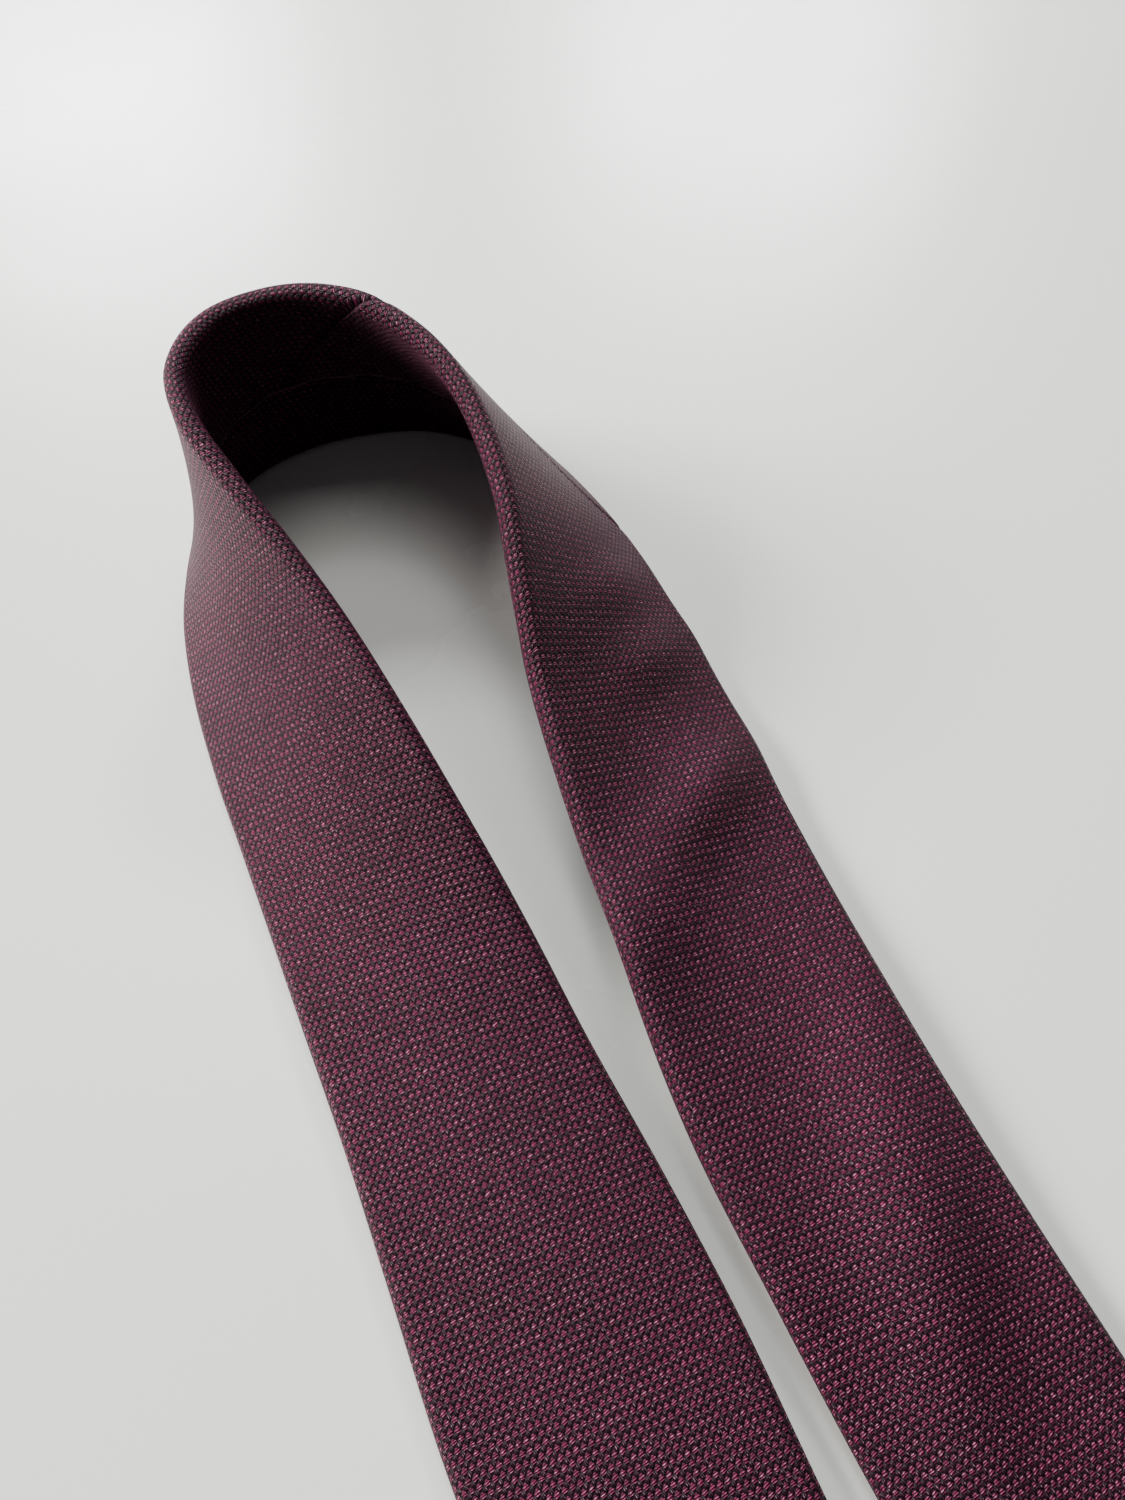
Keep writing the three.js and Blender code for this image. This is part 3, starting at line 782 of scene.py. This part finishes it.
# Interlining, brushed wool and cotton cloth cut on the bias. It runs the whole
# length inside the shell and gives the tie its body.
WOOL_COLOUR, WOOL_SHADE = (0.70, 0.66, 0.56), (0.56, 0.52, 0.43)
WOOL_LOW, WOOL_HIGH = -0.3, 0.9
WOOL_MARGIN = 1.5
wool, tree, shader = new_material(
    "interlining_wool", Specular_IOR_Level=0.15, Sheen_Weight=0.4, Roughness=0.95
)
cloth, yarns = woven(tree, Pitch_Across=1.6, Pitch_Along=1.6, Crimp=0.3)
fuzz = noise(tree, 1.2, 6.0, cloth)
tree.links.new(mixed(tree, fuzz, WOOL_SHADE, WOOL_COLOUR), shader.inputs["Base Color"])
nap = calc(tree, "ADD", yarns["Height"], fuzz)
roughened(tree, shader, nap, 0.6, WEAVE_DEPTH)


def layer(name, material, s, half, low, high):
    """A flat layer inside the shell, between two heights, as a closed thin sheet."""
    x = np.linspace(-1, 1, FLAP_POINTS)[None, :] * half[:, None]
    above = np.stack([x, x * 0 + high], -1)
    below = np.stack([x, x * 0 + low], -1)
    return ribbon(name, material, s[:, None] + x * 0, above, below, x)


def lay_interlining(name, s, nodes, from_point=None):
    half = width_at(s) / 2 - WOOL_MARGIN
    if from_point is not None:
        half = np.minimum(half, from_point(s) - 2 * WOOL_MARGIN)
    piece, flat, area = layer(name, wool, s, half, WOOL_LOW, WOOL_HIGH)
    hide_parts(*nodes)
    return piece


INSIDE_TIP = 3.5
s = stations_between(INSIDE_TIP, CUT_FRONT, (front_fold,))
nodes = ["interlining_front_tip", "interlining_front_leg"]
blend_front_fold(lay_interlining("front_interlining", s, nodes, lambda s: s))
s = stations_between(CUT_FRONT, cut_loop_front, (run_at_front(LIFT_Y),))
nodes = ["interlining_loop_front"]
blend_front_lift(lay_interlining("front_neck_interlining", s, nodes))
s = stations_between(cut_loop_front, cut_loop_neck, (neck_seam,), SEAM_REACH)
nodes = ["interlining_loop_neck"]
blend_neck(lay_interlining("neck_seam_interlining", s, nodes))
s = stations_between(cut_loop_neck, tail_seam, (tail_bend,), BEND_REACH)
nodes = ["interlining_tail_leg"]
blend_tail_lift(lay_interlining("neck_band_interlining", s, nodes))
s = stations_between(tail_seam, tail_tip - INSIDE_TIP, (run_at_tail(TAIL_FOLD),))
nodes = ["interlining_tail_tip"]
piece = lay_interlining("tail_interlining", s, nodes, lambda s: tail_tip - s)
blend_tail_fold(piece)

# Tipping, smooth lining cloth that closes the back of each point inside its hem.
TIPPING_COLOUR, TIPPING_SHADE = (0.075, 0.018, 0.04), (0.05, 0.012, 0.028)
TIPPING_LOW, TIPPING_HIGH = -1.1, -0.85
lining, tree, shader = new_material(
    "tipping_satin", Specular_IOR_Level=0.5, Sheen_Weight=0.1
)
cloth, yarns = woven(tree, Pitch_Across=0.5, Pitch_Along=0.5, Filaments=2.0)
colour = mixed(tree, yarns["Warp"], TIPPING_SHADE, TIPPING_COLOUR)
tree.links.new(colour, shader.inputs["Base Color"])
sheen = noise(tree, 0.3, 3.0, cloth)
tree.links.new(spread(tree, sheen, 0.28, 0.42), shader.inputs["Roughness"])
roughened(tree, shader, yarns["Height"], 0.35, WEAVE_DEPTH / 2)


def lay_tipping(name, node, body, s, from_point):
    half = np.minimum(width_at(s) / 2, from_point(s)) - 2 * SILK
    piece, flat, area = layer(name, lining, s, half, TIPPING_LOW, TIPPING_HIGH)
    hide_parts(node)
    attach(piece, body)


TIPPING_START, FRONT_TIPPING_END, TAIL_TIPPING_END = 2.5, 125, 75
s = stations_between(TIPPING_START, FRONT_TIPPING_END)
lay_tipping("front_tipping_cloth", "front_tipping", "front_end", s, lambda s: s)
s = stations_between(tail_tip - TAIL_TIPPING_END, tail_tip - TIPPING_START)
lay_tipping("tail_tipping_cloth", "tail_tipping", "tail_end", s, lambda s: tail_tip - s)

# Slip stitch: one loose silk thread up the back, which holds the flaps and the
# interlining together and lies in the groove at the edge of the upper flap.
THREAD_ROUND = 0.22
THREAD_SIDES = 6
STITCH_PITCH = 9
STITCH_INSET, STITCH_SWAY = 0.5, 0.25
STITCH_HEIGHT, STITCH_BOB = 0.32, 0.06
TACK_GAP = 4
THREAD_COLOUR, THREAD_SHADE = (0.11, 0.022, 0.05), (0.055, 0.012, 0.026)
thread, tree, shader = new_material(
    "sewing_thread", Specular_IOR_Level=0.4, Roughness=0.55, Sheen_Weight=0.2
)
where = tree.nodes.new("ShaderNodeTexCoord").outputs["Object"]
twist = tree.nodes.new("ShaderNodeTexWave")
twist.bands_direction = "DIAGONAL"
twist.inputs["Scale"].default_value = 600
twist.inputs["Distortion"].default_value = 1.5
tree.links.new(where, twist.inputs["Vector"])
colour = mixed(tree, twist.outputs["Fac"], THREAD_SHADE, THREAD_COLOUR)
tree.links.new(colour, shader.inputs["Base Color"])
roughened(tree, shader, twist.outputs["Fac"], 0.5, 0.0001)


def tube(name, points, radius, material):
    """A round thread through points, in metres, closed at both ends."""
    points = np.asarray(points, float)
    aim = np.gradient(points, axis=0)
    aim /= np.linalg.norm(aim, axis=1)[:, None]
    upright = np.array([0.13, 0.07, 0.99])
    first = np.cross(aim, upright)
    first /= np.linalg.norm(first, axis=1)[:, None]
    second = np.cross(aim, first)
    angle = 2 * math.pi * np.arange(THREAD_SIDES) / THREAD_SIDES
    ring = (
        points[:, None, :]
        + radius * np.cos(angle)[None, :, None] * first[:, None, :]
        + radius * np.sin(angle)[None, :, None] * second[:, None, :]
    )
    index = np.arange(len(points) * THREAD_SIDES).reshape(-1, THREAD_SIDES)
    after = np.roll(index, -1, axis=1)
    faces = np.stack([index[:-1], index[1:], after[1:], after[:-1]], -1)
    faces = faces.reshape(-1, 4).tolist()
    faces += [index[0].tolist(), index[-1][::-1].tolist()]
    mesh = bpy.data.meshes.new(name)
    mesh.from_pydata(ring.reshape(-1, 3).tolist(), [], faces)
    mesh.materials.append(material)
    mesh.polygons.foreach_set("use_smooth", [True] * len(mesh.polygons))
    return new_object(name, mesh)


def sew(name, start, end, nodes):
    s = np.arange(start, end, 1.0)
    x = OVERLAP[1] - STITCH_INSET
    x = x + STITCH_SWAY * np.sin(2 * math.pi * s / STITCH_PITCH)
    h = -ROUND + STITCH_HEIGHT
    h = h + STITCH_BOB * np.cos(2 * math.pi * s / STITCH_PITCH)
    piece = tube(name, on_strip(s, x, h), THREAD_ROUND * MM, thread)
    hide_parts(*nodes)
    return piece


front_tack = FRONT_SHOULDER + FRONT_OPEN
tail_tack = tail_tip - TAIL_SHOULDER - TAIL_OPEN
nodes = ["slip_stitch_front_tip", "slip_stitch_front_leg"]
blend_front_fold(sew("front_slip_stitch", front_tack + TACK_GAP, CUT_FRONT, nodes))
nodes = ["slip_stitch_loop_front"]
blend_front_lift(sew("front_neck_slip_stitch", CUT_FRONT, cut_loop_front, nodes))
nodes = ["slip_stitch_loop_neck"]
blend_neck(sew("neck_seam_slip_stitch", cut_loop_front, cut_loop_neck, nodes))
nodes = ["slip_stitch_tail_leg"]
blend_tail_lift(sew("neck_band_slip_stitch", cut_loop_neck, tail_seam, nodes))
nodes = ["slip_stitch_tail_tip"]
blend_tail_fold(sew("tail_slip_stitch", tail_seam, tail_tack - TACK_GAP, nodes))

# Bar tacks: close-wound stitches across the end of the slip stitch, which stop the
# flaps from pulling apart above each point.
TACK_WRAPS, WRAP_POINTS = 9, 12
TACK_REACH = 2.6
TACK_SHIFT = 2.4
WRAP_REACH, WRAP_HEIGHT, WRAP_RISE = 0.45, 0.5, 0.22


def bar_tack(name, node, body, s_tack, sense):
    turns = np.linspace(0, TACK_WRAPS * 2 * math.pi, TACK_WRAPS * WRAP_POINTS)
    share = turns / turns[-1]
    x = (share * 2 - 1) * TACK_REACH
    s = s_tack + sense * TACK_SHIFT + WRAP_REACH * np.cos(turns)
    h = -ROUND + WRAP_HEIGHT + WRAP_RISE * np.sin(turns)
    piece = tube(name, on_strip(s, x, h), THREAD_ROUND * MM, thread)
    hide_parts(node)
    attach(piece, body)


bar_tack("front_tack_thread", "front_bar_tack", "front_end", front_tack, -1)
bar_tack("tail_tack_thread", "tail_bar_tack", "tail_end", tail_tack, 1)

# Keeper loop, a folded band of the same silk that holds the tail when the tie is
# worn. Its turned ends are stitched to the back of the front blade.
KEEPER_PINCH, PINCH_SHARPNESS = 0.35, 12
BAND_BEND_POINTS, BAND_FACE_POINTS, BAND_STATIONS = 7, 9, 41


def folded_band(name, material, box_low, box_high, end_pinch):
    """A thin band with rounded long sides and thinner ends, between two corners in metres."""
    low, high = np.array(box_low), np.array(box_high)
    middle, size = (low + high) / 2, high - low
    radius = size[2] / 2
    turned = np.linspace(0, math.pi, BAND_BEND_POINTS)
    y_edge = size[1] / 2 - radius
    profile_y = np.linspace(-1, 1, BAND_FACE_POINTS) * y_edge
    over = [(y, radius) for y in profile_y]
    bend = [(radius * math.sin(a), radius * math.cos(a)) for a in turned[1:-1]]
    front = [(y_edge + y, z) for y, z in bend]
    under = [(y, -radius) for y in profile_y[::-1]]
    back = [(-y_edge - y, -z) for y, z in bend]
    section = np.array(over + front + under + back)
    along = np.linspace(-1, 1, BAND_STATIONS)
    rings, cloth_rings = [], []
    section_steps = np.linalg.norm(np.diff(section, axis=0), axis=1)
    around = np.concatenate([[0], np.cumsum(section_steps)])
    for t in along:
        pinch = 1 - end_pinch * abs(t) ** PINCH_SHARPNESS
        x = middle[0] + t * size[0] / 2
        rings.append([(x, middle[1] + y, middle[2] + z * pinch) for y, z in section])
        cloth_rings.append([(x / MM, a / MM) for a in around])
    index = np.arange(len(along) * len(section)).reshape(len(along), -1)
    after = np.roll(index, -1, axis=1)
    faces = np.stack([index[:-1], after[:-1], after[1:], index[1:]], -1)
    faces = faces.reshape(-1, 4).tolist()
    faces += [index[0][::-1].tolist(), index[-1].tolist()]
    mesh = bpy.data.meshes.new(name)
    mesh.from_pydata(np.array(rings).reshape(-1, 3).tolist(), [], faces)
    mesh.materials.append(material)
    cloth = np.array(cloth_rings).reshape(-1, 2)
    corner = np.zeros(len(mesh.loops), int)
    mesh.loops.foreach_get("vertex_index", corner)
    mesh.uv_layers.new(name="cloth").data.foreach_set("uv", cloth[corner].ravel())
    mesh.polygons.foreach_set("use_smooth", [True] * len(mesh.polygons))
    return new_object(name, mesh)


keeper = folded_band("keeper_silk", silk, keeper_low, keeper_high, KEEPER_PINCH)
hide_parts("keeper_loop")
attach(keeper, "front_end")


ROW_STITCHES, STITCH_POINTS = 7, 10
ROW_SWAY, ROW_BOB, ROW_THREAD_ROUND = 0.0004, 0.00008, 0.00015


def stitch_row(name, node, body):
    """A row of short stitches over a node's place, from its near to its far side."""
    low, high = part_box(node)
    middle = (low + high) / 2
    turns = np.linspace(0, ROW_STITCHES * 2 * math.pi, ROW_STITCHES * STITCH_POINTS)
    x = middle.x + ROW_SWAY * np.sin(turns)
    y = np.linspace(low.y + ROW_SWAY, high.y - ROW_SWAY, len(turns))
    z = middle.z + ROW_BOB * np.cos(turns)
    piece = tube(name, np.stack([x, y, z], -1), ROW_THREAD_ROUND, thread)
    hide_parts(node)
    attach(piece, body)


stitch_row("keeper_thread_left", "keeper_stitch_left", "front_end")
stitch_row("keeper_thread_right", "keeper_stitch_right", "front_end")

# Woven label, left blank, and a small folded tag, both sewn to the back of the
# front blade near the keeper loop.
LABEL_COLOUR, LABEL_SHADE = (0.022, 0.016, 0.024), (0.012, 0.009, 0.014)
LABEL_PINCH = 0.2
label_cloth, tree, shader = new_material(
    "label_cloth", Specular_IOR_Level=0.3, Roughness=0.7
)
cloth, yarns = woven(tree, Pitch_Across=0.7, Pitch_Along=0.7, Filaments=1.0)
colour = mixed(tree, yarns["Warp"], LABEL_SHADE, LABEL_COLOUR)
tree.links.new(colour, shader.inputs["Base Color"])
roughened(tree, shader, yarns["Height"], 0.6, WEAVE_DEPTH / 2)

for name, node in (("blank_label", "maker_label"), ("blank_tag", "care_tag")):
    low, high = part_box(node)
    piece = folded_band(name, label_cloth, low, high, LABEL_PINCH)
    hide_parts(node)
    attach(piece, "front_end")
